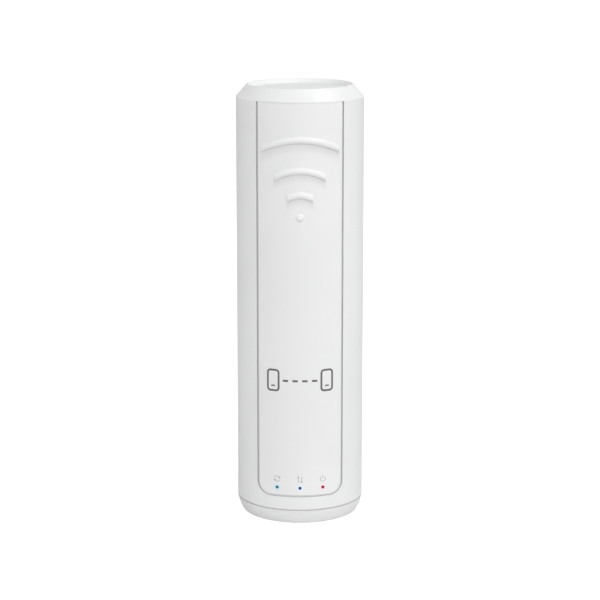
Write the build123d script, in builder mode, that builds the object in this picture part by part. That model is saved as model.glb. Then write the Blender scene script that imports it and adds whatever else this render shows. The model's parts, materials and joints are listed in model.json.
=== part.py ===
from build123d import *
import os
from math import sqrt, sin, cos, asin, radians, degrees

os.makedirs("parts", exist_ok=True)

# Outdoor wireless bridge: a round white housing that stands on its base or
# straps to a pole. Millimetres, +Z up, front faces -Y, base plane at z = 0,
# housing axis on Z. Plane.XZ.offset(d) lies d in front of the axis, facing front.

# ---------------------------------------------------------- shared dimensions
FIT = 0.05             # clearance between moulded parts
PART_GAP = 0.03        # clearance between stacked electronic parts

R_BODY = 38.0          # outside radius of the housing
WALL = 2.6             # wall of the housing and floor of the cap
R_IN = R_BODY - WALL   # inside radius of the housing
Z_CAP_TOP = 8.6        # shoulder of the bottom cap
Z_BODY_LOW = Z_CAP_TOP + 0.6   # lower edge of the housing, above a shadow gap

WIN_HALF = 25.35       # half width of the front window
WIN_Z0, WIN_Z1 = 17.05, 252.8
WIN_CORNER = 7.8       # lower corner radius of the front window
R_LEDGE_OUT = 35.55    # ledge that the panel and its gasket sit on
R_LEDGE_IN = 33.4
LEDGE_HALF = 22.0      # half width of the opening inside the ledge
LEDGE_Z0, LEDGE_Z1 = 20.0, 249.5   # height range of that opening

GROOVE = 0.85          # groove between window and panel
PANEL_HALF = WIN_HALF - GROOVE
PANEL_Z0 = WIN_Z0 + GROOVE
PANEL_Z1 = WIN_Z1 - 0.08
PANEL_CORNER = WIN_CORNER - GROOVE
PANEL_SIDE_Y = -20.0   # curved panel and gasket blanks end at this y

BAY_Z = 44.0           # underside of the port bay roof
BAY_T = 2.2            # thickness of that roof
BOSSES = [(24.0, 20.0), (-24.0, 20.0), (0.0, 25.8)]
SOCKET_Z = BAY_Z + 0.2     # lower faces of the sockets
SWITCH_Z = 46.6            # lower faces of the switch bodies
JACK_X = 10.0              # the two network jacks sit at -x and +x
DC_X, DC_Y = -25.0, -2.4
RESET_X, RESET_Y = 21.5, -4.6
MODE_X, MODE_Y = 27.9, -5.6    # mode switch slider
MODE_BODY_X = MODE_X + 1.0     # middle of the slider's travel

BOARD_Y0, BOARD_Y1 = -9.6, -8.0    # front and rear faces of the main board


# -------------------------------------------------------------------- helpers
def save(builder, name):
    """Label a finished part and write its STEP file."""
    builder.part.label = name
    export_step(builder.part, "parts/" + name + ".step")


def front_ring(outer, inner, y_limit):
    """Draw the part of a ring that lies in front of y_limit."""
    Circle(outer)
    Circle(inner, mode=Mode.SUBTRACT)
    with Locations((0, y_limit + 40)):
        Rectangle(90, 80, mode=Mode.SUBTRACT)


def window_outline(sketch, half, z_low, z_high, corner):
    """Draw a tall rectangle with rounded lower corners in an XZ sketch."""
    with Locations((0, (z_low + z_high) / 2)):
        Rectangle(2 * half, z_high - z_low)
    fillet(sketch.vertices().group_by(Axis.Y)[0], corner)


def cross(length, width):
    """Draw a cross for a screw's recess."""
    Rectangle(length, width)
    Rectangle(width, length)


# ----------------------------------------------------------------- body shell
Z_CHAMFER = 253.0      # where the rim chamfer starts
Z_TOP = 260.35         # rim
R_RIM = 31.5           # outside radius of the rim
R_LIP = 30.7           # inside radius of the rim lip
Z_DISH = 257.5         # floor of the dished top
R_DISH = 30.0          # dish wall at the floor
Z_ROOF = 254.9         # underside of the dished top
SHELL_FILLETS = [      # profile corner (r, z), fillet radius
    ((R_DISH, Z_DISH), 1.0),
    ((R_BODY, Z_CHAMFER), 0.6),
    ((R_RIM, Z_TOP), 0.28),
    ((R_LIP, Z_TOP), 0.28),
    ((R_BODY, Z_BODY_LOW), 0.3),
]

Y_POCKET = 32.5        # flat back of the housing
Y_POCKET_IN = 30.0     # inside face of the flat back wall
Z_POCKET0, Z_POCKET1 = 20.0, 236.0
BACK_WALL_EXTRA = 2.5  # how far the flat wall runs past the pocket, up and down

POLE_R = 20.0          # saddle radius
POLE_Y = 60.0          # pole axis
SADDLE_Y = 49.5        # how far back the saddle tips reach
SADDLE_HALF = 19.5     # half width at the tips
SADDLE_WAIST = 18.8    # half width just behind the strap slot
SADDLE_FOOT = 18.2     # half width at the flat back
SADDLE_H = 24.0
SADDLE_Z = (58.0, 186.0)   # lower faces of the two saddles
SLOT_H = 14.0              # strap slot height
SLOT_Y1 = 37.3             # rear face of the strap slot

# Rib grooves run round the rear half and end just in front of the two sides.
RIB_START = radians(-4.0)
RIB_SWEEP = 60.0
RIB_MID_Z = 199.0
RIB_PITCH = 4.0
RIB_GROOVES = 26
RIB_GROOVE_H = 1.2
RIB_GROOVE_DEPTH = 0.55
RIB_DROP = 0.12        # how far the ribs lie below the wall round them
rib_plane = Plane(origin=(0, 0, 0),
                  x_dir=(cos(RIB_START), sin(RIB_START), 0),
                  z_dir=(sin(RIB_START), -cos(RIB_START), 0))

LEDGE_BLANK_Z0, LEDGE_BLANK_Z1 = 14.8, 253.4
LEDGE_SIDE_Y = -21.9
RAIL_CENTRES = [(32.7, -10.45), (32.9, -7.15)]   # in front of and behind the board
RAIL_Z0, RAIL_H = 58, 182
BOSS_H = 15

with BuildPart() as body_shell:
    with BuildSketch(Plane.XZ) as shell_profile:
        with BuildLine():
            Polyline(
                (0, Z_DISH), (R_DISH, Z_DISH), (R_LIP, Z_TOP), (R_RIM, Z_TOP),
                (R_BODY, Z_CHAMFER), (R_BODY, Z_BODY_LOW), (R_IN, Z_BODY_LOW),
                (R_IN, Z_ROOF - 3.0), (R_RIM - 2.2, Z_ROOF), (0, Z_ROOF), close=True)
        make_face()
        for (r, z), radius in SHELL_FILLETS:
            fillet(shell_profile.vertices().sort_by_distance((r, z, 0))[0], radius)
    revolve(axis=Axis.Z)

    # thicker flat wall inside the back, then the flat pocket outside
    with BuildSketch(Plane.XY.offset(Z_POCKET0 - BACK_WALL_EXTRA)):
        Circle(R_IN + 0.5)
        with Locations((0, Y_POCKET_IN - 40)):
            Rectangle(90, 80, mode=Mode.SUBTRACT)
    extrude(amount=Z_POCKET1 - Z_POCKET0 + 2 * BACK_WALL_EXTRA)
    with BuildSketch(Plane.XY.offset(Z_POCKET0)):
        with Locations((0, Y_POCKET + 10)):
            Rectangle(80, 20)
    extrude(amount=Z_POCKET1 - Z_POCKET0, mode=Mode.SUBTRACT)

    # two pole saddles on the flat back, each with a strap slot across its foot
    for z_low in SADDLE_Z:
        with BuildSketch(Plane.XY.offset(z_low)) as saddle:
            with BuildLine():
                Polyline((-SADDLE_FOOT, Y_POCKET - 1.2), (SADDLE_FOOT, Y_POCKET - 1.2),
                         (SADDLE_FOOT, Y_POCKET), (SADDLE_WAIST, SLOT_Y1 + 1.0),
                         (SADDLE_HALF, SADDLE_Y), (-SADDLE_HALF, SADDLE_Y),
                         (-SADDLE_WAIST, SLOT_Y1 + 1.0), (-SADDLE_FOOT, Y_POCKET),
                         close=True)
            make_face()
            with Locations((0, POLE_Y)):
                Circle(POLE_R, mode=Mode.SUBTRACT)
            for side in (-1, 1):
                tip = (side * SADDLE_HALF, SADDLE_Y, 0)
                fillet(saddle.vertices().sort_by_distance(tip)[0], 1.2)
        extrude(amount=SADDLE_H)
        with BuildSketch(Plane.XY.offset(z_low + (SADDLE_H - SLOT_H) / 2)):
            with Locations((0, (Y_POCKET + SLOT_Y1) / 2)):
                Rectangle(60, SLOT_Y1 - Y_POCKET)
        extrude(amount=SLOT_H, mode=Mode.SUBTRACT)

    # fine rib grooves on one side, then mirrored onto the other
    with BuildSketch(rib_plane):
        with Locations((R_BODY, RIB_MID_Z)):
            Rectangle(2 * RIB_DROP, (RIB_GROOVES - 1) * RIB_PITCH + RIB_GROOVE_H)
            with GridLocations(1, RIB_PITCH, 1, RIB_GROOVES):
                Rectangle(2 * RIB_GROOVE_DEPTH, RIB_GROOVE_H)
    revolve(axis=Axis.Z, revolution_arc=RIB_SWEEP, mode=Mode.SUBTRACT)
    mirror(about=Plane.YZ, mode=Mode.INTERSECT)

    # front window
    with BuildSketch(Plane.XZ.offset(20)) as window:
        window_outline(window, WIN_HALF, WIN_Z0, WIN_Z1, WIN_CORNER)
    extrude(amount=20, mode=Mode.SUBTRACT)

    # ledge round the window
    with BuildSketch(Plane.XY.offset(LEDGE_BLANK_Z0)):
        front_ring(R_LEDGE_OUT, R_LEDGE_IN, LEDGE_SIDE_Y)
    extrude(amount=LEDGE_BLANK_Z1 - LEDGE_BLANK_Z0)
    with BuildSketch(Plane.XZ.offset(20)) as opening:
        window_outline(opening, LEDGE_HALF, LEDGE_Z0, LEDGE_Z1, 5.0)
    extrude(amount=16.5, mode=Mode.SUBTRACT)

    # guide rails for the main board
    with BuildSketch(Plane.XY.offset(RAIL_Z0)):
        for side in (-1, 1):
            with Locations(*[(side * x, y) for x, y in RAIL_CENTRES]):
                Rectangle(4.2, 1.1)
    extrude(amount=RAIL_H)

    # bosses for the port bay screws
    with BuildSketch(Plane.XY.offset(BAY_Z + BAY_T + FIT)):
        with Locations(*BOSSES):
            Circle(4.4)
            Circle(1.5, mode=Mode.SUBTRACT)
    extrude(amount=BOSS_H)
save(body_shell, "body_shell")

# ---------------------------------------------------------------- front panel
PANEL_T = 2.0          # panel thickness
R_PANEL_IN = R_BODY - PANEL_T
Z_ARCS = 185.4         # centre of the signal arcs
EMBOSS = 1.5           # how far the arcs stand proud
ARCS = [               # outer radius, inner radius, half width; narrowest first
    (15.9, 11.7, 7.55),
    (29.9, 25.9, 14.9),
    (47.9, 43.75, 22.6),
]
DOT_R = 2.4
SPINE_STEPS = 8        # spline steps from an arc's top to each end

LED_Z = 22.7           # height of the indicator row
LED_X = 13.65          # spacing of the indicators
LED_R = 0.93           # visible radius of a light pipe
LIGHT_PIPES = [
    # name, x, then distances in front of the axis:
    # sleeve's rear end, sleeve's front end, end of its wide bore, tip of the pipe
    ("light_pipe_middle", 0, 30.0, 36.7, 36.0, 38.2),
    ("light_pipe_left", -LED_X, 27.0, 34.1, 32.6, 35.75),
    ("light_pipe_right", LED_X, 27.0, 34.1, 32.6, 35.75),
]

HOOK_Z = (62.0, 136.0, 210.0)
HOOK_H = 8


def crown(half_width, rise):
    """Radius of a round section of that width and rise, and how deep its centre lies."""
    radius = (half_width ** 2 + rise ** 2) / (2 * rise)
    return radius, radius - rise


def arc_point(middle, depth, angle):
    """A point on the line along an arc's middle, angle degrees from its top."""
    x = middle * sin(radians(angle))
    return (x, -sqrt((R_BODY - depth) ** 2 - x ** 2), Z_ARCS + middle * cos(radians(angle)))


def on_outer_face(edge):
    """Whether an edge lies on the housing's outside radius, below the panel's top."""
    points = [edge @ t for t in (0, 0.37, 0.5, 1)]
    return (all(abs(sqrt(p.X ** 2 + p.Y ** 2) - R_BODY) < 1e-3 for p in points)
            and (edge @ 0.5).Z < PANEL_Z1 - 0.5)


# Raised signal arcs and dot with rounded backs, following the curve of the panel.
with BuildPart() as emboss:
    # narrowest arc first, because each arc's end cuts run through everything outside them
    for r_out, r_in, half in ARCS:
        tube, depth = crown((r_out - r_in) / 2, EMBOSS)
        middle = (r_out + r_in) / 2
        reach = degrees(asin((half + 3.2) / middle))
        with BuildLine() as spine:
            Spline(*[arc_point(middle, depth, -reach + reach * k / SPINE_STEPS)
                     for k in range(2 * SPINE_STEPS + 1)])
        with BuildSketch(Plane(origin=spine.line @ 0, z_dir=spine.line % 0)):
            Circle(tube)
        sweep(path=spine.line)
        with Locations((half + 5, -30, Z_ARCS + 30), (-half - 5, -30, Z_ARCS + 30)):
            Box(10, 40, 60, mode=Mode.SUBTRACT)
    ball, depth = crown(DOT_R, EMBOSS)
    with Locations((0, depth - R_BODY, Z_ARCS + 0.6)):
        Sphere(ball)
    # trim the backs so that they end inside the panel
    with BuildSketch(Plane.XY.offset(170)):
        Circle(R_BODY + EMBOSS + 1)
        Circle(R_BODY - 1.0, mode=Mode.SUBTRACT)
    extrude(amount=80, mode=Mode.INTERSECT)

with BuildPart() as front_panel:
    with BuildSketch(Plane.XY.offset(PANEL_Z0)):
        front_ring(R_BODY, R_PANEL_IN, PANEL_SIDE_Y)
    extrude(amount=PANEL_Z1 - PANEL_Z0)
    with BuildSketch(Plane.XZ.offset(10)) as outline:
        window_outline(outline, PANEL_HALF, PANEL_Z0, PANEL_Z1, PANEL_CORNER)
    extrude(amount=40, mode=Mode.INTERSECT)
    chamfer(front_panel.edges().filter_by(on_outer_face), 0.35)
    add(emboss.part)
    # sleeves that hold the light pipes
    for _, x, y_in, y_out, y_bore, _ in LIGHT_PIPES:
        with BuildSketch(Plane.XZ.offset(y_in)):
            with Locations((x, LED_Z)):
                Circle(2.1)
        extrude(amount=y_out - y_in)
        with BuildSketch(Plane.XZ.offset(y_in)):
            with Locations((x, LED_Z)):
                Circle(1.52)
        extrude(amount=y_bore - y_in, mode=Mode.SUBTRACT)
        with BuildSketch(Plane.XZ.offset(y_in)):
            with Locations((x, LED_Z)):
                Circle(LED_R + FIT)
        extrude(amount=14, mode=Mode.SUBTRACT)
    # snap hooks: an arm, and a barb behind the ledge
    for z_mid in HOOK_Z:
        with BuildSketch(Plane.XY.offset(z_mid - HOOK_H / 2)):
            for side in (-1, 1):
                with Locations((side * 20.9, -26.6)):
                    Rectangle(1.4, 7.6)
                with Locations((side * 21.5, -23.4)):
                    Rectangle(2.6, 1.2)
        extrude(amount=HOOK_H)
save(front_panel, "front_panel")

# --------------------------------------------------------- front panel gasket
# Flat seal under the edge of the panel, with a bead that stands in the groove.
R_BEAD = 37.25         # top of the bead
R_SEAL = 35.95         # front face of the flat seal
R_GASKET_IN = R_LEDGE_OUT + FIT
GASKET_HALF = WIN_HALF - FIT
GASKET_Z0 = WIN_Z0 + FIT
GASKET_Z1 = 252.4
GASKET_CORNER = WIN_CORNER - FIT
SEAL_INSET = 0.3       # from the ledge's opening to the seal's

with BuildPart() as seal_bead:
    with BuildSketch(Plane.XY.offset(GASKET_Z0)):
        front_ring(R_BEAD, R_GASKET_IN, PANEL_SIDE_Y)
    extrude(amount=GASKET_Z1 - GASKET_Z0)
    with BuildSketch(Plane.XZ.offset(10)) as bead_outline:
        window_outline(bead_outline, GASKET_HALF, GASKET_Z0, GASKET_Z1, GASKET_CORNER)
    extrude(amount=40, mode=Mode.INTERSECT)
    # room for the panel, open at the top
    with BuildSketch(Plane.XZ.offset(10)) as panel_space:
        window_outline(panel_space, PANEL_HALF + FIT, PANEL_Z0 - FIT, 262, PANEL_CORNER + FIT)
    extrude(amount=40, mode=Mode.SUBTRACT)

with BuildPart() as front_panel_gasket:
    with BuildSketch(Plane.XY.offset(GASKET_Z0)):
        front_ring(R_SEAL, R_GASKET_IN, PANEL_SIDE_Y)
    extrude(amount=GASKET_Z1 - GASKET_Z0)
    with BuildSketch(Plane.XZ.offset(10)) as seal_outline:
        window_outline(seal_outline, GASKET_HALF, GASKET_Z0, GASKET_Z1, GASKET_CORNER)
        with Locations((0, (LEDGE_Z0 + LEDGE_Z1) / 2)):
            Rectangle(2 * (LEDGE_HALF + SEAL_INSET), LEDGE_Z1 - LEDGE_Z0 - 2 * SEAL_INSET,
                      mode=Mode.SUBTRACT)
    extrude(amount=40, mode=Mode.INTERSECT)
    add(seal_bead.part)
save(front_panel_gasket, "front_panel_gasket")

# ---------------------------------------------------------------- light pipes
PIPE_REAR = 10.7       # rear ends, just in front of the status LEDs

for name, x, _, _, y_bore, y_tip in LIGHT_PIPES:
    y_shoulder = y_bore - 0.2
    with BuildPart() as light_pipe:
        with BuildSketch(Plane.XZ.offset(PIPE_REAR)):
            with Locations((x, LED_Z)):
                Circle(1.45)
        extrude(amount=y_shoulder - PIPE_REAR)
        with BuildSketch(Plane.XZ.offset(y_shoulder)):
            with Locations((x, LED_Z)):
                Circle(LED_R)
        extrude(amount=y_tip - y_shoulder)
        fillet(light_pipe.edges().group_by(Axis.Y)[0], 0.3)
    save(light_pipe, name)

# ----------------------------------------------------------------- bottom cap
R_BASE = 34.6          # radius of the flat base
R_SPIGOT = R_IN - 0.1  # the cap's collar inside the housing
R_CAP_IN = 32.6
R_RING_SEAT = 33.9     # floor of the O-ring groove
RING_Z0, RING_Z1 = 10.7, 12.5  # O-ring groove
OUTLET_Y = 13.0        # cable outlet

with BuildPart() as bottom_cap:
    with BuildSketch(Plane.XZ) as cap_profile:
        with BuildLine():
            Line((0, 0), (R_BASE, 0))
            ThreePointArc((R_BASE, 0), (36.75, 4.2), (R_BODY, Z_CAP_TOP))
            Polyline((R_BODY, Z_CAP_TOP), (36.9, Z_CAP_TOP), (36.9, 9.17), (R_SPIGOT, 9.17),
                     (R_SPIGOT, RING_Z0), (R_RING_SEAT, RING_Z0),
                     (R_RING_SEAT, RING_Z1), (R_SPIGOT, RING_Z1),
                     (R_SPIGOT, 14.2), (R_CAP_IN, 14.2), (R_CAP_IN, WALL), (0, WALL), (0, 0))
        make_face()
        fillet(cap_profile.vertices().sort_by_distance((R_BASE, 0, 0))[0], 0.6)
        fillet(cap_profile.vertices().sort_by_distance((R_CAP_IN, WALL, 0))[0], 1.5)
    revolve(axis=Axis.Z)
    # grommet seat and opening for the cables
    for radius, depth in ((9.6, 0.9), (7.6, 5)):
        with BuildSketch(Plane.XY):
            with Locations((0, OUTLET_Y)):
                Circle(radius)
        extrude(amount=depth, mode=Mode.SUBTRACT)
    # drain holes, then stiffening ribs inside
    with BuildSketch(Plane.XY):
        with Locations((-20, -8), (20, -8)):
            Circle(1.25)
    extrude(amount=5, mode=Mode.SUBTRACT)
    with BuildSketch(Plane.XY.offset(WALL)):
        with Locations((0, -14)):
            Rectangle(50, 1.2)
        with Locations((-12, -14), (12, -14)):
            Rectangle(1.2, 22)
    extrude(amount=2.2)
save(bottom_cap, "bottom_cap")

with BuildPart() as bottom_cap_o_ring:
    with BuildSketch(Plane.XZ):
        with Locations((34.63, (RING_Z0 + RING_Z1) / 2)):
            Circle(0.7)
    revolve(axis=Axis.Z)
save(bottom_cap_o_ring, "bottom_cap_o_ring")

GROMMET_PROFILE = [    # distance from the outlet's axis, z
    (3.4, 0.3), (9.3, 0.3), (9.3, 0.85), (7.5, 0.85), (7.5, 2.65),
    (9.2, 2.65), (8.7, 4.0), (5.2, 4.8), (4.4, 7.6), (3.4, 7.6),
]
with BuildPart() as cable_grommet:
    with BuildSketch(Plane(origin=(0, OUTLET_Y, 0), x_dir=(1, 0, 0), z_dir=(0, -1, 0))):
        with BuildLine():
            Polyline(*GROMMET_PROFILE, close=True)
        make_face()
    revolve(axis=Axis((0, OUTLET_Y, 0), (0, 0, 1)))
save(cable_grommet, "cable_grommet")

# ------------------------------------------------------------------- port bay
BAY_FRONT, BAY_BACK = -7.7, 29.8   # y range of the roof
BAY_WALL = 1.2                     # front wall thickness
BAY_WALL_Z0 = 15.0
CHEEK_Z0 = 26.0
COMB_Z0 = 36.0

with BuildPart() as port_bay:
    with BuildSketch(Plane.XY.offset(BAY_Z)):
        Circle(35.2)
        with Locations((0, BAY_BACK + 10)):
            Rectangle(80, 20, mode=Mode.SUBTRACT)
        with Locations((0, BAY_FRONT - 20)):
            Rectangle(80, 40, mode=Mode.SUBTRACT)
    extrude(amount=BAY_T)
    with BuildSketch(Plane.XY.offset(BAY_WALL_Z0)):
        with Locations((0, BAY_FRONT + BAY_WALL / 2)):
            Rectangle(68.4, BAY_WALL)
    extrude(amount=BAY_Z - BAY_WALL_Z0)
    # side cheeks that stiffen the front wall
    with BuildSketch(Plane.XY.offset(CHEEK_Z0)):
        with Locations((-33.4, -3.6), (33.4, -3.6)):
            Rectangle(1.6, 7.0)
    extrude(amount=BAY_Z - CHEEK_Z0)
    # openings for the two network jacks
    with BuildSketch(Plane.XY.offset(BAY_Z)):
        with Locations((-JACK_X, -1.05), (JACK_X, -1.05)):
            Rectangle(16.5, 14.1)
    extrude(amount=5, mode=Mode.SUBTRACT)
    # openings for the power socket, reset button, mode switch and screws
    with BuildSketch(Plane.XY.offset(BAY_Z - 1)):
        with Locations((DC_X, DC_Y)):
            Circle(4.2)
        with Locations((RESET_X, RESET_Y)):
            Circle(1.8)
        with Locations((MODE_BODY_X, MODE_Y)):
            Rectangle(4.8, 1.9)
        with Locations(*BOSSES):
            Circle(1.8)
    extrude(amount=6, mode=Mode.SUBTRACT)
    # cable comb that takes the strain off the plugs
    with BuildSketch(Plane.XY.offset(COMB_Z0)):
        with Locations(*[(x, 27.9) for x in (-16, -6, 6, 16)]):
            Rectangle(1.6, 3.4)
    extrude(amount=BAY_Z - COMB_Z0)
save(port_bay, "port_bay")

SCREW_Z0 = 42.0            # underside of the screw heads
SCREW_SEAT = BAY_Z - FIT   # top of the screw heads
with BuildPart() as port_bay_screws:
    with BuildSketch(Plane.XY.offset(SCREW_Z0)):
        with Locations(*BOSSES):
            Circle(2.75)
    extrude(amount=SCREW_SEAT - SCREW_Z0)
    with BuildSketch(Plane.XY.offset(SCREW_SEAT)):
        with Locations(*BOSSES):
            Circle(1.45)
    extrude(amount=11.0)
    # cross recess in each head
    with BuildSketch(Plane.XY.offset(SCREW_Z0)):
        with Locations(*BOSSES):
            cross(3.0, 0.8)
    extrude(amount=1.1, mode=Mode.SUBTRACT)
save(port_bay_screws, "port_bay_screws")

# -------------------------------------------------------------- network jacks
JACK_Y0, JACK_Y1 = -7.95, 5.5
JACK_Z1 = 65.6

for name, x in (("network_jack_poe", -JACK_X), ("network_jack_lan", JACK_X)):
    with BuildPart() as jack:
        with BuildSketch(Plane.XY.offset(SOCKET_Z)) as jack_outline:
            with Locations((x, (JACK_Y0 + JACK_Y1) / 2)):
                Rectangle(16.0, JACK_Y1 - JACK_Y0)
            fillet(jack_outline.vertices(), 0.4)
        extrude(amount=JACK_Z1 - SOCKET_Z)
        # plug cavity with the notch for the latch
        with BuildSketch(Plane.XY.offset(SOCKET_Z)):
            with Locations((x, -1.8)):
                Rectangle(12.0, 8.8)
            with Locations((x, 3.2)):
                Rectangle(6.2, 2.4)
        extrude(amount=14.5, mode=Mode.SUBTRACT)
    save(jack, name)

with BuildPart() as network_jack_contacts:
    for x in (-JACK_X, JACK_X):
        with BuildSketch(Plane.XY.offset(47.0)):
            with Locations((x, -5.88)):
                with GridLocations(1.02, 1, 8, 1):
                    Rectangle(0.36, 0.3)
        extrude(amount=11.6)
save(network_jack_contacts, "network_jack_contacts")

# rubber plug in the unused socket: flange, body, then pull tab
FLANGE_Z0, FLANGE_T = 41.7, 2.2
PLUG_Y = -0.6
TAB_H = 4.5
with BuildPart() as network_port_plug:
    with BuildSketch(Plane.XY.offset(FLANGE_Z0)) as plug_flange:
        with Locations((JACK_X, PLUG_Y)):
            Rectangle(14.6, 10.6)
        fillet(plug_flange.vertices(), 1.6)
    extrude(amount=FLANGE_T)
    with BuildSketch(Plane.XY.offset(FLANGE_Z0 + FLANGE_T)) as plug_body:
        with Locations((JACK_X, -1.4)):
            Rectangle(11.4, 7.4)
        fillet(plug_body.vertices(), 0.8)
    extrude(amount=11.0)
    chamfer(network_port_plug.edges().group_by(Axis.Z)[-1], 0.8)
    with BuildSketch(Plane.XY.offset(FLANGE_Z0 - TAB_H)):
        with Locations((JACK_X, PLUG_Y)):
            Rectangle(7.0, 1.8)
    extrude(amount=TAB_H)
    fillet(network_port_plug.faces().sort_by(Axis.Z)[0].edges(), 0.6)
save(network_port_plug, "network_port_plug")

# --------------------------------------------------------------- power socket
DC_BODY_Z = 46.4       # where the square body starts above the round nose

with BuildPart() as dc_jack:
    with BuildSketch(Plane.XY.offset(DC_BODY_Z)):
        with Locations((DC_X, DC_Y)):
            Rectangle(9.2, 11.0)
    extrude(amount=14.0)
    with BuildSketch(Plane.XY.offset(SOCKET_Z)):
        with Locations((DC_X, DC_Y)):
            Circle(4.0)
    extrude(amount=DC_BODY_Z - SOCKET_Z)
    with BuildSketch(Plane.XY.offset(SOCKET_Z)):
        with Locations((DC_X, DC_Y)):
            Circle(2.85)
    extrude(amount=10.0, mode=Mode.SUBTRACT)
save(dc_jack, "dc_jack")

with BuildPart() as dc_jack_pin:
    with BuildSketch(Plane.XY.offset(44.9)):
        with Locations((DC_X, DC_Y)):
            Circle(1.05)
    extrude(amount=9.25)
    fillet(dc_jack_pin.edges().group_by(Axis.Z)[0], 0.5)
save(dc_jack_pin, "dc_jack_pin")

# --------------------------------------------------- reset button, mode switch
RESET_CAP_Z0, RESET_CAP_T = 41.7, 1.5

with BuildPart() as reset_switch_body:
    with BuildSketch(Plane.XY.offset(SWITCH_Z)):
        with Locations((RESET_X, -4.9)):
            Rectangle(6.0, 6.0)
    extrude(amount=4.0)
    with BuildSketch(Plane.XY.offset(SWITCH_Z)):
        with Locations((RESET_X, RESET_Y)):
            Circle(1.7)
    extrude(amount=2.6, mode=Mode.SUBTRACT)
save(reset_switch_body, "reset_switch_body")

with BuildPart() as reset_button:
    with BuildSketch(Plane.XY.offset(RESET_CAP_Z0)):
        with Locations((RESET_X, RESET_Y)):
            Circle(1.75)
    extrude(amount=RESET_CAP_T)
    fillet(reset_button.edges().group_by(Axis.Z)[0], 0.4)
    with BuildSketch(Plane.XY.offset(RESET_CAP_Z0 + RESET_CAP_T)):
        with Locations((RESET_X, RESET_Y)):
            Circle(1.6)
    extrude(amount=5.2)
save(reset_button, "reset_button")

with BuildPart() as mode_switch_body:
    with BuildSketch(Plane.XY.offset(SWITCH_Z)):
        with Locations((MODE_BODY_X, -5.5)):
            Rectangle(7.0, 4.8)
    extrude(amount=4.0)
    with BuildSketch(Plane.XY.offset(SWITCH_Z)):
        with Locations((MODE_BODY_X, MODE_Y)):
            Rectangle(4.6, 1.9)
    extrude(amount=2.4, mode=Mode.SUBTRACT)
save(mode_switch_body, "mode_switch_body")

with BuildPart() as mode_switch_slider:
    with BuildSketch(Plane.XY.offset(42.3)):
        with Locations((MODE_X, MODE_Y)):
            Rectangle(2.0, 1.5)
    extrude(amount=6.2)
    chamfer(mode_switch_slider.edges().group_by(Axis.Z)[0], 0.25)
save(mode_switch_slider, "mode_switch_slider")

# ----------------------------------------------------------------- main board
BOARD_HALF = 31.0
BOARD_Z0, BOARD_Z1 = 15.6, 238.0
ANT_HOLES = [(x, z) for z in (78.0, 228.0) for x in (-22.0, 22.0)]
ANT_HOLE_R = 1.35
CPU_X, CPU_Z = 6, 132

# Planes just off the board's faces. On the rear one local x runs along -X.
board_rear = Plane(origin=(0, BOARD_Y1 + PART_GAP, 0), x_dir=(-1, 0, 0), z_dir=(0, 1, 0))
board_front = Plane.XZ.offset(-BOARD_Y0 + PART_GAP)

with BuildPart() as main_board:
    with BuildSketch(Plane.XZ.offset(-BOARD_Y1)) as board_outline:
        with Locations((0, (BOARD_Z0 + BOARD_Z1) / 2)):
            Rectangle(2 * BOARD_HALF, BOARD_Z1 - BOARD_Z0)
        chamfer(board_outline.vertices(), 1.5)
        with Locations(*ANT_HOLES):
            Circle(ANT_HOLE_R, mode=Mode.SUBTRACT)
    extrude(amount=BOARD_Y1 - BOARD_Y0)
save(main_board, "main_board")

CHIPS = [  # name, thickness, [(x, z, width, height), ...] on the rear of the board
    ("ethernet_transformers", 5.6, [(-10, 78, 12.6, 9.5), (10, 78, 12.6, 9.5)]),
    ("power_inductors", 3.8, [(-24, 108, 8, 8), (-24, 120, 8, 8)]),
    ("power_chips", 1.3, [(-13, 102, 5, 6), (-13, 111, 5, 6), (24, 111, 6, 6)]),
    ("processor_chip", 1.3, [(CPU_X, CPU_Z, 14, 14)]),
    ("memory_chips", 1.1, [(-8, 156, 9, 13), (6, 156, 9, 13)]),
    ("radio_chips", 1.0, [(0, 190, 9, 9), (-11, 196, 4, 4), (11, 196, 4, 4)]),
    ("crystal", 1.0, [(22, 152, 5, 3.2)]),
]
for name, thickness, places in CHIPS:
    with BuildPart() as group:
        for x, z, width, height in places:
            with BuildSketch(board_rear):
                with Locations((-x, z)):
                    Rectangle(width, height)
            extrude(amount=thickness)
        chamfer(group.edges().group_by(Axis.Y)[-1], 0.25)
    save(group, name)

SHIELD_T = 0.3         # sheet thickness of the shields
for name, x, z, width, height, depth in (
        ("processor_shield", CPU_X, CPU_Z, 34, 28, 3.2),
        ("radio_shield", 0, 192, 36, 26, 2.8)):
    with BuildPart() as shield:
        with BuildSketch(board_rear) as can:
            with Locations((-x, z)):
                Rectangle(width, height)
            fillet(can.vertices(), 1.0)
        extrude(amount=depth)
        with BuildSketch(board_rear):
            with Locations((-x, z)):
                Rectangle(width - 2 * SHIELD_T, height - 2 * SHIELD_T)
        extrude(amount=depth - SHIELD_T, mode=Mode.SUBTRACT)
    save(shield, name)

# Pad and heat sink stack up rearwards, so they extrude backwards.
with BuildPart() as thermal_pad:
    with BuildSketch(Plane.XZ.offset(4.7)):
        with Locations((CPU_X, CPU_Z)):
            Rectangle(24, 22)
    extrude(amount=-1.0)
save(thermal_pad, "thermal_pad")

SINK_SIZE = 40
SINK_FRONT = 3.65      # front face, in front of the axis
SINK_BASE = 2.0
with BuildPart() as heat_sink:
    with BuildSketch(Plane.XZ.offset(SINK_FRONT)):
        with Locations((CPU_X, CPU_Z)):
            Rectangle(SINK_SIZE, SINK_SIZE)
    extrude(amount=-SINK_BASE)
    with BuildSketch(Plane.XZ.offset(SINK_FRONT - SINK_BASE)):
        with Locations((CPU_X, CPU_Z)):
            with GridLocations(6.5, 1, 7, 1):
                Rectangle(1.0, SINK_SIZE)
    extrude(amount=-8.0)
save(heat_sink, "heat_sink")

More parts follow.
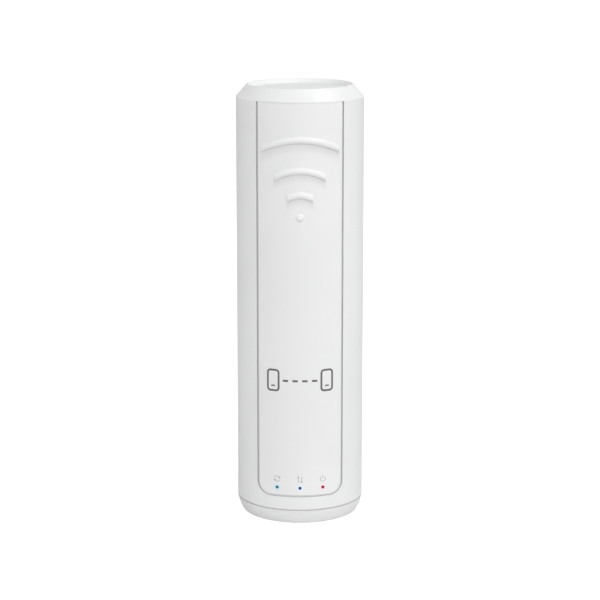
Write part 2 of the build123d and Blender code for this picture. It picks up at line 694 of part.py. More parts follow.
with BuildPart() as electrolytic_capacitors:
    with BuildSketch(board_rear):
        with Locations((24, 88), (24, 97.5), (-24, 88), (-24, 97.5)):
            Circle(4.0)
    extrude(amount=11.5)
    fillet(electrolytic_capacitors.edges().group_by(Axis.Y)[-1], 0.6)
save(electrolytic_capacitors, "electrolytic_capacitors")

with BuildPart() as status_leds:
    with BuildSketch(board_front):
        with Locations((-LED_X, LED_Z), (0, LED_Z), (LED_X, LED_Z)):
            Rectangle(2.0, 1.25)
    extrude(amount=0.8)
save(status_leds, "status_leds")

# -------------------------------------------------------------------- antenna
# Depths are distances in front of the axis.
REFL_BACK, REFL_T = 14.6, 0.8
REFL_FACE = REFL_BACK + REFL_T
REFL_LIP = 18.6        # front edge of the side flanges
REFL_HALF = 26.5
REFL_HALF_IN = REFL_HALF - REFL_T
COAX_X = 14            # coax cables run at -x and +x

FEED_BACK, FEED_T = 15.45, 1.0
ON_FEED = FEED_BACK + FEED_T + PART_GAP    # parts that sit on the feed board
PATCH_MID_Z, PATCH_PITCH = 153.0, 36.0
PATCH_Z = [PATCH_MID_Z + PATCH_PITCH * k for k in (-1.5, -0.5, 0.5, 1.5)]
PATCH_CENTRES = [(0, z) for z in PATCH_Z]
FEED_POINTS = [(x, z) for x in (-6, 6) for z in PATCH_Z]

with BuildPart() as antenna_reflector:
    with BuildSketch(Plane.XY.offset(70)):
        with BuildLine():
            Polyline((-REFL_HALF, -REFL_LIP), (-REFL_HALF, -REFL_BACK),
                     (REFL_HALF, -REFL_BACK), (REFL_HALF, -REFL_LIP),
                     (REFL_HALF_IN, -REFL_LIP), (REFL_HALF_IN, -REFL_FACE),
                     (-REFL_HALF_IN, -REFL_FACE), (-REFL_HALF_IN, -REFL_LIP), close=True)
        make_face()
    extrude(amount=166)
    # screw holes, and the holes that the coax passes through
    with BuildSketch(Plane.XZ.offset(10)):
        with Locations(*ANT_HOLES):
            Circle(ANT_HOLE_R)
        with Locations((-COAX_X, 226), (COAX_X, 226)):
            Circle(1.6)
    extrude(amount=10, mode=Mode.SUBTRACT)
save(antenna_reflector, "antenna_reflector")

with BuildPart() as antenna_spacers:
    with BuildSketch(Plane.XZ.offset(9.62)):
        with Locations(*ANT_HOLES):
            RegularPolygon(2.6, 6)
            Circle(ANT_HOLE_R, mode=Mode.SUBTRACT)
    extrude(amount=4.96)
save(antenna_spacers, "antenna_spacers")

with BuildPart() as antenna_screws:
    with BuildSketch(Plane.XZ.offset(REFL_FACE + PART_GAP)):
        with Locations(*ANT_HOLES):
            Circle(2.3)
    extrude(amount=1.5)
    fillet(antenna_screws.edges().group_by(Axis.Y)[0], 0.5)
    with BuildSketch(Plane.XZ.offset(REFL_FACE + PART_GAP)):
        with Locations(*ANT_HOLES):
            Circle(1.22)
    extrude(amount=-9.9)
    with BuildSketch(Plane.XZ.offset(16.0)):
        with Locations(*ANT_HOLES):
            cross(2.4, 0.6)
    extrude(amount=2, mode=Mode.SUBTRACT)
save(antenna_screws, "antenna_screws")

with BuildPart() as antenna_nuts:
    with BuildSketch(Plane.XZ.offset(7.95)):
        with Locations(*ANT_HOLES):
            RegularPolygon(2.9, 6)
            Circle(1.3, mode=Mode.SUBTRACT)
    extrude(amount=-2.0)
save(antenna_nuts, "antenna_nuts")

with BuildPart() as antenna_feed_board:
    with BuildSketch(Plane.XZ.offset(FEED_BACK)) as feed_outline:
        with Locations((0, PATCH_MID_Z)):
            Rectangle(44, 138)
        fillet(feed_outline.vertices(), 1.5)
    extrude(amount=FEED_T)
save(antenna_feed_board, "antenna_feed_board")

with BuildPart() as antenna_patches:
    with BuildSketch(Plane.XZ.offset(21.1)):
        with Locations(*PATCH_CENTRES):
            Rectangle(21, 21)
    extrude(amount=0.8)
    chamfer(antenna_patches.edges().filter_by(Axis.Y), 2.0)
    with BuildSketch(Plane.XZ.offset(20)):
        with Locations(*PATCH_CENTRES):
            Circle(1.25)
        with Locations(*FEED_POINTS):
            Circle(0.5)
    extrude(amount=4, mode=Mode.SUBTRACT)
save(antenna_patches, "antenna_patches")

STANDOFF_H = 4.58
with BuildPart() as patch_standoffs:
    with BuildSketch(Plane.XZ.offset(ON_FEED)):
        with Locations(*PATCH_CENTRES):
            Circle(2.4)
    extrude(amount=STANDOFF_H)
    with BuildSketch(Plane.XZ.offset(ON_FEED + STANDOFF_H)):
        with Locations(*PATCH_CENTRES):
            Circle(1.15)
    extrude(amount=1.6)
save(patch_standoffs, "patch_standoffs")

with BuildPart() as patch_feed_pins:
    with BuildSketch(Plane.XZ.offset(ON_FEED)):
        with Locations(*FEED_POINTS):
            Circle(0.4)
    extrude(amount=5.7)
save(patch_feed_pins, "patch_feed_pins")

# Coax pigtails rise from the main board's front, pass through the reflector
# and turn down to the feed board.
with BuildPart() as coax_connectors:
    for plane, z in ((board_front, 190), (Plane.XZ.offset(ON_FEED), 217)):
        with BuildSketch(plane):
            with Locations((-COAX_X, z), (COAX_X, z)):
                Rectangle(3.0, 3.0)
        extrude(amount=1.3)
save(coax_connectors, "coax_connectors")

COAX_ROUTE = [         # x on the right-hand side, y, z
    (COAX_X, -11.75, 190.5), (15.5, -12.4, 204), (COAX_X, -13.0, 220),
    (COAX_X, -15.0, 226), (COAX_X, -17.6, 224.2), (COAX_X, -18.5, 218.5),
]
for name, side in (("coax_pigtail_left", -1), ("coax_pigtail_right", 1)):
    with BuildPart() as pigtail:
        with BuildLine() as route:
            Spline(*[(side * x, y, z) for x, y, z in COAX_ROUTE])
        with BuildSketch(Plane(origin=route.line @ 0, z_dir=route.line % 0)):
            Circle(0.6)
        sweep()
    save(pigtail, name)
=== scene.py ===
"""Looks for an upright white device with a curved front panel, three indicators and printed marks.

The device stands on z = 0, its front faces -Y and +X is to the right seen from the front. Names
ending in _MM, the materials and the printed marks use millimetres; the studio uses metres.
"""

import json
import math

import bpy
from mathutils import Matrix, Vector


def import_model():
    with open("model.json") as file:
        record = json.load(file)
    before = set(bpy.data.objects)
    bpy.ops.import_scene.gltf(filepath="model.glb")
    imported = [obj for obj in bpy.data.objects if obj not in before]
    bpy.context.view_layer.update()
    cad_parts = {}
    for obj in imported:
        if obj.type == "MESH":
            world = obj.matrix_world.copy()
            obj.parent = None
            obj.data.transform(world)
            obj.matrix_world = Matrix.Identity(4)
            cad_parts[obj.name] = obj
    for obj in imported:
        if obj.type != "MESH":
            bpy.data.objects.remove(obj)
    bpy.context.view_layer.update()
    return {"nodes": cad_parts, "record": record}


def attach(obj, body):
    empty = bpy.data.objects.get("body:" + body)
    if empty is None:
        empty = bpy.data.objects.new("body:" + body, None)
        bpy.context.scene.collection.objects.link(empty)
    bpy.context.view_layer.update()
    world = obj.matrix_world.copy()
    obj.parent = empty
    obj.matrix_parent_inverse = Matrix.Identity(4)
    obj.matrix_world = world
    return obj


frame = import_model()
MM = 0.001
scene = bpy.context.scene

# Driving sizes of the front, in millimetres
PANEL_RADIUS = 38.0         # front surface, about the Z axis
INDICATOR_X = 13.65         # outer indicators, either side of the middle one
INDICATOR_Z = 22.7


# ------------------------------------------------------------ node helpers
class Graph:
    """Adds and links the nodes of one tree."""

    def __init__(self, tree):
        self.tree = tree
        tree.nodes.clear()

    def put(self, socket, value):
        """Link a socket to an input, or set the input to a number, vector or RGB colour."""
        if isinstance(value, bpy.types.NodeSocket):
            self.tree.links.new(value, socket)
        else:
            socket.default_value = (*value, 1.0) if socket.type == "RGBA" else value

    def add(self, kind, inputs=None, **settings):
        node = self.tree.nodes.new("ShaderNode" + kind)
        for key, value in settings.items():
            setattr(node, key, value)
        for key, value in (inputs or {}).items():
            self.put(node.inputs[key], value)
        return node

    def math(self, operation, *values):
        return self.add("Math", dict(enumerate(values)), operation=operation).outputs[0]

    def times(self, a, b):
        return self.math("MULTIPLY", a, b)

    def dot(self, a, b):
        return self.add("VectorMath", {0: a, 1: b}, operation="DOT_PRODUCT").outputs["Value"]

    def separate(self, vector):
        return self.add("SeparateXYZ", {0: vector}).outputs

    def remap(self, value, span=(0.3, 0.7), to=(0.0, 1.0), smooth=False):
        """Map span onto to, clamped. The default span is where most noise lies."""
        inputs = {"From Min": span[0], "From Max": span[1],
                  "To Min": to[0], "To Max": to[1], "Value": value}
        kind = "SMOOTHSTEP" if smooth else "LINEAR"
        return self.add("MapRange", inputs, interpolation_type=kind, clamp=True).outputs["Result"]


class Surface(Graph):
    """A material built round one Principled shader, with textures placed in millimetres."""

    def __init__(self, name):
        self.mat = bpy.data.materials.new(name)
        self.mat.use_nodes = True
        super().__init__(self.mat.node_tree)
        self.out = self.add("OutputMaterial")
        self.bsdf = self.add("BsdfPrincipled")
        self.put(self.out.inputs[0], self.bsdf.outputs[0])
        position = self.add("TexCoord").outputs["Object"]
        self.mm = self.add("VectorMath", {0: position, "Scale": 1 / MM},
                           operation="SCALE").outputs[0]

    def set(self, key, value):
        self.put(self.bsdf.inputs[key], value)

    def noise(self, scale, detail=3.0, rough=0.5, vector=None, distortion=0.0):
        inputs = {"Scale": scale, "Detail": detail, "Roughness": rough,
                  "Distortion": distortion, "Vector": vector or self.mm}
        return self.add("TexNoise", inputs).outputs[0]

    def voronoi(self, scale, feature="F1", vector=None, randomness=1.0):
        inputs = {"Scale": scale, "Randomness": randomness, "Vector": vector or self.mm}
        return self.add("TexVoronoi", inputs, feature=feature).outputs

    def mix(self, factor, a, b):
        inputs = {"Factor": factor, 6: a, 7: b}
        return self.add("Mix", inputs, data_type="RGBA").outputs[2]

    def length(self, a, b):
        square = self.math("ADD", self.times(a, a), self.times(b, b))
        return self.math("SQRT", square, 0.0)

    def distance(self, x0, z0, span, to=(0.0, 1.0)):
        """Distance in front view from (x0, z0), mapped smoothly from span onto to."""
        x, _, z = self.separate(self.mm)
        away = self.length(self.math("SUBTRACT", x, x0), self.math("SUBTRACT", z, z0))
        return self.remap(away, span, to, smooth=True)

    def normal(self):
        return self.add("NewGeometry").outputs["Normal"]

    def bevel(self, radius):
        return self.add("Bevel", {"Radius": radius * MM}, samples=4).outputs[0]

    def edge_mask(self, radius):
        """0 on flat faces, 1 on convex and concave edges, from a rounded normal."""
        off = self.math("SUBTRACT", 1.0, self.dot(self.bevel(radius), self.normal()))
        return self.remap(off, span=(0.02, 0.18), smooth=True)

    def bump(self, height, strength, depth, normal=None):
        inputs = {"Strength": strength, "Distance": depth * MM, "Height": height}
        if normal is not None:
            inputs["Normal"] = normal
        return self.add("Bump", inputs).outputs[0]


def shade(color, gain, lift=0.0):
    """A colour made darker or lighter, kept at or below white."""
    return tuple(min(1.0, c * gain + lift) for c in color)


def about(middle, below, above):
    """The range from below to above a middle value."""
    return (middle - below, middle + above)


# ------------------------------------------------- painted light and shade on the front panel
# x of the indicator, painted tint of its light on the plastic round it, painted glow added there
PAINTED_GLOWS = (
    (-INDICATOR_X, (0.71, 0.87, 0.92), (0.0, 0.02, 0.06)),
    (0.0, (0.86, 0.90, 0.95), (0.0, 0.05, 0.12)),
    (INDICATOR_X, (0.92, 0.82, 0.85), (0.11, 0.0, 0.01)),
)
PAINTED_GLOW_FADE = (1.1, 2.9)      # distance from an indicator's centre, full to none
PAINTED_GLOW_SKIN = (37.2, 37.7)    # distance from the Z axis, none to full
PAINTED_GLOW_TINT = 0.8

# painted shadow below each raised arc: radius of no shadow, radius of full shadow, half width
ARC_SHADOW_BANDS = ((37.5, 43.9, 22.6), (21.0, 26.0, 14.9), (7.5, 11.8, 7.55))
ARC_CENTRE = (0.0, 185.4)   # x, z shared by the arcs
ARC_SHADOW_DEPTH = 0.55
ARC_SHADOW_TOP = (0.3, 0.9)       # beyond the full radius, where the painted shadow ends
ARC_SHADOW_SIDE = (-1.0, 1.5)     # about the half width, where the painted shadow ends
ARC_SHADOW_RISE = 2.0             # height above the arcs' centre to full painted shadow


def paint_arc_shadows(g, base, color):
    """Painted shadow: darken the panel a little below each raised arc."""
    x0, z0 = ARC_CENTRE
    for clear, full, half in ARC_SHADOW_BANDS:
        top = (full + ARC_SHADOW_TOP[0], full + ARC_SHADOW_TOP[1])
        near = g.times(g.distance(x0, z0, span=(clear, full)),
                       g.distance(x0, z0, span=top, to=(1.0, 0.0)))
        x = g.math("ABSOLUTE", g.separate(g.mm)[0], 0.0)
        side = (half + ARC_SHADOW_SIDE[0], half + ARC_SHADOW_SIDE[1])
        near = g.times(near, g.remap(x, span=side, to=(1.0, 0.0), smooth=True))
        z = g.separate(g.mm)[2]
        near = g.times(near, g.remap(z, span=(z0, z0 + ARC_SHADOW_RISE), to=(0.0, ARC_SHADOW_DEPTH)))
        # painted shadow: the panel's colour darkened to 0.8 below the arc
        base = g.mix(near, base, shade(color, 0.8))
    return base


def paint_indicator_glow(g, base):
    """Painted light: tint the panel's outer skin round each indicator with its light, and add a
    painted glow there.
    """
    x, y, _ = g.separate(g.mm)
    skin = g.remap(g.length(x, y), span=PAINTED_GLOW_SKIN)
    glow = (0.0, 0.0, 0.0)
    for x0, tint, light in PAINTED_GLOWS:
        ring = g.times(skin, g.distance(x0, INDICATOR_Z, span=PAINTED_GLOW_FADE, to=(1.0, 0.0)))
        # painted light: the indicator's colour mixed into the panel and added as glow
        base = g.mix(g.times(ring, PAINTED_GLOW_TINT), base, tint)
        glow = g.mix(ring, glow, light)
    g.set("Emission Color", glow)
    g.set("Emission Strength", 1.0)
    return base


# --------------------------------------------------------------- materials
def moulded(name, color, rough, grain, edge=0.22, crease_shade=0.35, wear=0.5, front=False):
    """Moulded plastic: fine grain, slow tone drift, polished edges, painted shade in corners and
    creases.
    edge is the rounding radius; front adds the front panel's painted shadows below the arcs and
    painted glow round the indicators."""
    g = Surface(name)
    drift = g.noise(scale=0.018, detail=2.0, rough=0.45)
    mottle = g.noise(scale=0.35, detail=4.0, rough=0.6)
    base = g.mix(g.remap(drift, span=(0.35, 0.65), smooth=True),
                 shade(color, 0.985), shade(color, 1.012))
    base = g.mix(g.remap(mottle, span=(0.3, 0.75), to=(0.0, 0.30)), base, shade(color, 0.972))
    edges = g.edge_mask(radius=0.35)
    patches = g.noise(scale=0.9, detail=5.0, rough=0.7)
    scuff = g.times(edges, g.remap(patches, span=(0.42, 0.62), to=(0.0, wear)))
    base = g.mix(scuff, base, shade(color, 1.06, lift=0.02))
    # painted shade: corners and creases found by ambient occlusion are darkened with a warm tint
    open_air = g.add("AmbientOcclusion", {"Distance": 1.6 * MM}, samples=6).outputs["AO"]
    corner = g.remap(open_air, span=(0.35, 0.95), to=(crease_shade, 0.0), smooth=True)
    crease_shade_tint = (0.70, 0.69, 0.67)
    base = g.mix(corner, base, tuple(c * dust_and_shade for c, dust_and_shade in zip(color, crease_shade_tint)))
    if front:
        # painted shadows below the arcs, then painted glow round the indicators
        base = paint_indicator_glow(g, paint_arc_shadows(g, base, color))
    g.set("Base Color", base)
    sheen = g.remap(g.noise(scale=0.12, detail=4.0, rough=0.6),
                    to=about(rough, below=0.045, above=0.055))
    g.set("Roughness", g.math("SUBTRACT", sheen, g.times(edges, 0.06)))
    cells = g.voronoi(scale=2.1)["Distance"]
    fine = g.noise(scale=4.2, rough=0.65)
    height = g.math("ADD", g.times(cells, 0.55), fine)
    normal = g.bump(height, strength=0.16 * grain, depth=0.045, normal=g.bevel(edge))
    waves = g.noise(scale=0.045, detail=2.0)
    g.set("Normal", g.bump(waves, strength=0.05 * grain, depth=0.35, normal=normal))
    return g.mat


def rubbery(name, color, rough=0.68, dust_and_shade=0.10):
    """Matt rubber with a pale bloom in patches."""
    g = Surface(name)
    fine = g.noise(scale=3.4, detail=5.0, rough=0.7)
    patch = g.noise(scale=0.22, rough=0.55)
    base = g.mix(g.remap(fine), shade(color, 0.86), shade(color, 1.14))
    bloom = g.remap(patch, span=(0.48, 0.72), to=(0.0, dust_and_shade), smooth=True)
    g.set("Base Color", g.mix(bloom, base, shade(color, 1.0, lift=0.16)))
    g.set("Roughness", g.remap(patch, to=about(rough, below=0.08, above=0.10)))
    g.set("Sheen Weight", 0.12)
    g.set("Sheen Roughness", 0.5)
    g.set("Normal", g.bump(fine, strength=0.35, depth=0.05, normal=g.bevel(0.18)))
    return g.mat


def metal(name, color, rough, brushed, spots=0.0):
    """Drawn or plated metal: brushed scales the grain per axis, spots is spangle strength."""
    g = Surface(name)
    stretched = g.add("VectorMath", {0: g.mm, 1: brushed}, operation="MULTIPLY").outputs[0]
    lines = g.noise(scale=1.3, detail=5.0, rough=0.7, vector=stretched)
    patch = g.noise(scale=0.28, detail=4.0, rough=0.6)
    base = g.mix(g.remap(lines), shade(color, 0.90), shade(color, 1.05))
    if spots:
        spangle = g.separate(g.voronoi(scale=0.55)["Color"])[0]
        base = g.mix(g.times(spangle, spots), base, shade(color, 0.82))
    worn = g.times(g.edge_mask(radius=0.22), 0.4)
    g.set("Base Color", g.mix(worn, base, shade(color, 1.15, lift=0.05)))
    g.set("Metallic", 1.0)
    streaks = g.times(g.math("SUBTRACT", lines, 0.5), 0.25)
    g.set("Roughness", g.math(
        "ADD", g.remap(patch, to=about(rough, below=0.07, above=0.09)), streaks))
    g.set("Normal", g.bump(lines, strength=0.25, depth=0.02, normal=g.bevel(0.12)))
    return g.mat


def board(name, mask, trace, pad, routing):
    """Printed circuit board: solder mask over routed tracks, plated vias, bare edge.
    routing is the scale of the track pattern."""
    g = Surface(name)
    x, _, z = g.separate(g.mm)
    flat = g.add("CombineXYZ", {0: x, 1: z}).outputs[0]
    routes = g.voronoi(scale=routing, feature="DISTANCE_TO_EDGE", vector=flat, randomness=0.55)
    line = g.remap(routes["Distance"], span=(0.035, 0.06), to=(1.0, 0.0))
    bus = g.add("TexWave", {"Scale": 0.42, "Distortion": 1.2, "Detail": 0.0, "Vector": flat},
                wave_type="BANDS", bands_direction="X")
    stripes = g.remap(bus.outputs["Fac"], span=(0.55, 0.62))
    zone = g.remap(g.noise(scale=0.055, detail=1.0, rough=0.4, vector=flat), span=(0.46, 0.50))
    tracks = g.math("MAXIMUM", line, g.times(stripes, zone))
    base = g.mix(tracks, mask, trace)
    vias = g.voronoi(scale=0.34, vector=flat, randomness=0.75)["Distance"]
    ring = g.remap(vias, span=(0.10, 0.13), to=(1.0, 0.0))
    hole = g.remap(vias, span=(0.045, 0.06), to=(1.0, 0.0))
    base = g.mix(ring, base, pad)
    base = g.mix(hole, base, (0.02, 0.02, 0.02))
    stain = g.remap(g.noise(scale=0.6, detail=4.0, rough=0.6), to=(0.0, 0.18))
    base = g.mix(stain, base, shade(mask, 0.6))
    facing_y = g.math("ABSOLUTE", g.separate(g.normal())[1])
    side = g.remap(facing_y, span=(0.3, 0.6), to=(1.0, 0.0))
    bare_laminate = (0.42, 0.38, 0.20)
    g.set("Base Color", g.mix(side, base, bare_laminate))
    g.set("Metallic", g.times(ring, 0.9))
    g.set("Roughness", g.remap(g.noise(scale=0.5), to=(0.24, 0.36)))
    g.set("Coat Weight", 0.25)
    g.set("Coat Roughness", 0.15)
    g.set("Normal", g.bump(g.math("ADD", tracks, ring), strength=0.35, depth=0.05))
    return g.mat


def chip(name, color):
    """Moulded epoxy package with a dull, shallow flow texture."""
    g = Surface(name)
    speck = g.noise(scale=2.6, detail=6.0, rough=0.75)
    base = g.mix(g.remap(speck, span=(0.35, 0.7)),
                 shade(color, 0.8), shade(color, 1.6, lift=0.01))
    swirl = g.noise(scale=0.35, detail=2.0, distortion=1.5)
    flow = g.remap(swirl, span=(0.45, 0.6), to=(0.0, 0.3), smooth=True)
    base = g.mix(flow, base, shade(color, 1.0, lift=0.03))
    worn = g.times(g.edge_mask(radius=0.15), 0.4)
    g.set("Base Color", g.mix(worn, base, shade(color, 1.0, lift=0.10)))
    g.set("Roughness", g.remap(swirl, to=(0.42, 0.58)))
    g.set("Normal", g.bump(speck, strength=0.3, depth=0.03, normal=g.bevel(0.1)))
    return g.mat


def lens(name, deep, bright, glow, tip_y):
    """Tinted clear plastic: deeper at the rim, brightest at its front tip, slightly hazy."""
    g = Surface(name)
    haze = g.noise(scale=1.8, detail=4.0, rough=0.6)
    facing = g.add("LayerWeight", {"Blend": 0.35}).outputs["Facing"]
    core = g.remap(facing, span=(0.05, 0.75), to=(1.0, 0.0), smooth=True)
    base = g.mix(core, deep, bright)
    base = g.mix(g.remap(haze, span=(0.35, 0.7), to=(0.0, 0.25)), base, shade(deep, 0.7))
    g.set("Base Color", base)
    g.set("Transmission Weight", 0.25)
    g.set("IOR", 1.49)
    g.set("Roughness", g.remap(haze, to=(0.10, 0.22)))
    y = g.separate(g.mm)[1]
    near_tip = g.remap(y, span=(tip_y, tip_y + 2.5), to=(1.0, 0.05), smooth=True)
    g.set("Emission Color", base)
    g.set("Emission Strength", g.times(near_tip, glow))
    g.set("Coat Weight", 0.4)
    g.set("Coat Roughness", 0.08)
    g.set("Normal", g.bump(haze, strength=0.08, depth=0.03))
    return g.mat


def ink(name, color):
    """Pad-printed ink: slightly uneven cover with tiny pinholes."""
    g = Surface(name)
    cover = g.noise(scale=3.0, detail=5.0, rough=0.7)
    pinholes = g.remap(g.noise(scale=6.5, detail=2.0), span=(0.66, 0.72), to=(0.0, 0.35))
    base = g.mix(g.remap(cover), shade(color, 0.93), shade(color, 1.07))
    g.set("Base Color", g.mix(pinholes, base, (0.8, 0.8, 0.8)))
    g.set("Roughness", g.remap(cover, to=(0.44, 0.58)))
    g.set("Normal", g.bump(cover, strength=0.12, depth=0.02))
    return g.mat


def sleeved_can(name):
    """Electrolytic capacitor: dark sleeve, bare aluminium where it faces +Y."""
    g = Surface(name)
    top = g.remap(g.separate(g.normal())[1], span=(0.75, 0.9))
    fine = g.noise(scale=1.4, detail=4.0, rough=0.6)
    aluminium = g.mix(g.remap(fine), (0.62, 0.62, 0.64), (0.76, 0.76, 0.78))
    sleeve = g.mix(g.remap(fine), (0.025, 0.03, 0.06), (0.045, 0.05, 0.09))
    g.set("Base Color", g.mix(top, sleeve, aluminium))
    g.set("Metallic", top)
    g.set("Roughness", g.remap(fine, to=(0.28, 0.42)))
    g.set("Normal", g.bump(fine, strength=0.15, depth=0.03, normal=g.bevel(0.2)))
    return g.mat


# one material for each slot, made in this order
materials = {
    "housing": moulded("housing_plastic", (0.86, 0.864, 0.868),
                       rough=0.40, grain=1.0, edge=0.35, crease_shade=0.14),
    "panel": moulded("panel_plastic", (0.874, 0.876, 0.879),
                     rough=0.37, grain=0.8, edge=0.40, crease_shade=0.14, front=True),
    "cap": moulded("cap_plastic", (0.852, 0.856, 0.859),
                   rough=0.42, grain=1.0, edge=0.35, crease_shade=0.18),
    "gasket": rubbery("gasket_silicone", (0.66, 0.665, 0.67), rough=0.62, dust_and_shade=0.05),
    "seal_rubber": rubbery("seal_rubber", (0.035, 0.036, 0.038)),
    "indicator_cyan": lens("indicator_cyan", deep=(0.010, 0.075, 0.105),
                           bright=(0.03, 0.21, 0.28), glow=0.16, tip_y=-36.0),
    "indicator_blue": lens("indicator_blue", deep=(0.006, 0.022, 0.070),
                           bright=(0.015, 0.075, 0.21), glow=0.14, tip_y=-38.2),
    "indicator_red": lens("indicator_red", deep=(0.11, 0.004, 0.016),
                          bright=(0.34, 0.018, 0.055), glow=0.16, tip_y=-36.0),
    "bay": moulded("bay_plastic", (0.66, 0.665, 0.67), rough=0.50, grain=1.2),
    "screw_steel": metal("zinc_screw_steel", (0.58, 0.59, 0.60),
                         rough=0.28, brushed=(1.0, 1.0, 6.0), spots=0.5),
    "jack_shell": moulded("jack_plastic", (0.035, 0.036, 0.038),
                          rough=0.48, grain=1.4, edge=0.12, crease_shade=0.0, wear=0.6),
    "gold_contacts": metal("gold_contacts", (0.83, 0.60, 0.22),
                           rough=0.22, brushed=(1.0, 1.0, 0.2)),
    "black_plastic": moulded("black_plastic", (0.025, 0.025, 0.028),
                             rough=0.45, grain=1.2, edge=0.12, crease_shade=0.0, wear=0.6),
    "button_plastic": moulded("button_plastic", (0.45, 0.045, 0.035),
                              rough=0.38, grain=0.8, edge=0.15, crease_shade=0.1),
    "switch_steel": metal("switch_steel", (0.62, 0.62, 0.63),
                          rough=0.26, brushed=(8.0, 1.0, 1.0)),
    "circuit_board": board("circuit_board", mask=(0.012, 0.10, 0.045),
                           trace=(0.03, 0.20, 0.085), pad=(0.80, 0.62, 0.25), routing=0.21),
    "ferrite": chip("ferrite_ceramic", (0.055, 0.055, 0.058)),
    "chip_epoxy": chip("chip_epoxy", (0.022, 0.022, 0.024)),
    "shield_steel": metal("tin_plated_shield", (0.66, 0.66, 0.655),
                          rough=0.33, brushed=(1.0, 1.0, 3.0), spots=0.7),
    "thermal_rubber": rubbery("thermal_pad_silicone", (0.36, 0.46, 0.56), rough=0.75, dust_and_shade=0.2),
    "heat_sink_aluminium": metal("heat_sink_aluminium", (0.70, 0.71, 0.72),
                                 rough=0.34, brushed=(10.0, 1.0, 0.6)),
    "capacitor_can": sleeved_can("capacitor_can"),
    "led_white": lens("led_lens", deep=(0.75, 0.72, 0.55),
                      bright=(0.95, 0.93, 0.80), glow=0.3, tip_y=-10.5),
    "reflector_aluminium": metal("reflector_aluminium", (0.74, 0.745, 0.75),
                                 rough=0.36, brushed=(12.0, 1.0, 0.5)),
    "brass_hardware": metal("brass_hardware", (0.72, 0.52, 0.22),
                            rough=0.25, brushed=(1.0, 14.0, 1.0)),
    "antenna_board": board("antenna_laminate", mask=(0.55, 0.50, 0.33),
                           trace=(0.66, 0.60, 0.40), pad=(0.80, 0.50, 0.30), routing=0.06),
    "patch_metal": metal("patch_metal", (0.68, 0.68, 0.67),
                         rough=0.30, brushed=(0.5, 1.0, 10.0), spots=0.3),
    "nylon": moulded("natural_nylon", (0.74, 0.73, 0.66),
                     rough=0.50, grain=0.8, edge=0.15, crease_shade=0.1, wear=0.3),
    "coax_jacket": rubbery("coax_jacket", (0.05, 0.05, 0.054), rough=0.55, dust_and_shade=0.05),
}
slot_of = {part["node"]: part["material_slot"] for part in frame["record"]["subparts"]}
for node, piece in frame["nodes"].items():
    slots = piece.data.materials
    if not slots:
        slots.append(materials[slot_of[node]])
    for i in range(len(slots)):
        slots[i] = materials[slot_of[node]]


# ------------------------------------------------------------ printed marks
# Marks are drawn flat in millimetres: s runs round the front from its middle, z is height.
INK_RADII = (PANEL_RADIUS + 0.005, PANEL_RADIUS + 0.045)    # under and outer face of the ink
INK_STEP = 0.7              # longest piece of ink line
MITRE_LIMIT = 0.35          # smallest cosine used to widen a corner
HEAD_TURN = math.radians(142)


def add_object(name, data):
    obj = bpy.data.objects.new(name, data)
    scene.collection.objects.link(obj)
    return obj


def wrap(s, z, radius):
    """A drawn point placed round the panel at a radius, in metres."""
    angle = s / PANEL_RADIUS
    return (radius * math.sin(angle) * MM, -radius * math.cos(angle) * MM, z * MM)


def divide(path, closed):
    """The same path with points close enough together to follow the curved panel."""
    points = []
    count = len(path)
    for i in range(count if closed else count - 1):
        (s, z), (next_s, next_z) = path[i], path[(i + 1) % count]
        ds, dz = next_s - s, next_z - z
        parts = max(1, math.ceil(math.hypot(ds, dz) / INK_STEP))
        points += [(s + ds * j / parts, z + dz * j / parts) for j in range(parts)]
    return points if closed else points + [path[-1]]


def unit(s, z):
    length = math.hypot(s, z) or 1.0
    return (s / length, z / length)


def ribbon(verts, faces, path, width, closed):
    """Add a solid strip of ink along path, mitred at its corners."""
    path = divide(path, closed)
    count = len(path)
    start = len(verts)
    for i, (s, z) in enumerate(path):
        legs = []
        if closed or i > 0:
            legs.append(unit(s - path[i - 1][0], z - path[i - 1][1]))
        if closed or i < count - 1:
            after = path[(i + 1) % count]
            legs.append(unit(after[0] - s, after[1] - z))
        along = unit(sum(leg[0] for leg in legs), sum(leg[1] for leg in legs))
        cosine = along[0] * legs[0][0] + along[1] * legs[0][1]
        offset = width / 2 / max(MITRE_LIMIT, cosine)
        ds, dz = -along[1] * offset, along[0] * offset
        for edge in ((s + ds, z + dz), (s - ds, z - dz)):
            verts += [wrap(*edge, radius) for radius in INK_RADII]
    for i in range(count if closed else count - 1):
        a = start + 4 * i
        b = start + 4 * ((i + 1) % count)
        faces += [(a + 1, b + 1, b + 3, a + 3), (a, a + 2, b + 2, b),
                  (a, b, b + 1, a + 1), (a + 2, a + 3, b + 3, b + 2)]
    if not closed:
        end = start + 4 * (count - 1)
        faces += [(start, start + 1, start + 3, start + 2), (end, end + 2, end + 3, end + 1)]


def arc(s, z, radius, first, last, steps=26):
    """Points on an arc between two angles in degrees."""
    angles = [math.radians(first + (last - first) * i / steps) for i in range(steps + 1)]
    return [(s + radius * math.cos(a), z + radius * math.sin(a)) for a in angles]


def arrow_head(tip, direction, size):
    """An open arrow head as a two-leg path."""
    angle = math.atan2(direction[1], direction[0])
    left, right = [(tip[0] + size * math.cos(angle + turn), tip[1] + size * math.sin(angle + turn))
                   for turn in (HEAD_TURN, -HEAD_TURN)]
    return [left, tip, right]


def rounded_box(s, z, width, height, corner):
    points = []
    for side, up, first in ((1, 1, 0), (-1, 1, 90), (-1, -1, 180), (1, -1, 270)):
        points += arc(s + side * (width / 2 - corner), z + up * (height / 2 - corner),
                      corner, first, first + 90, steps=8)
    return points


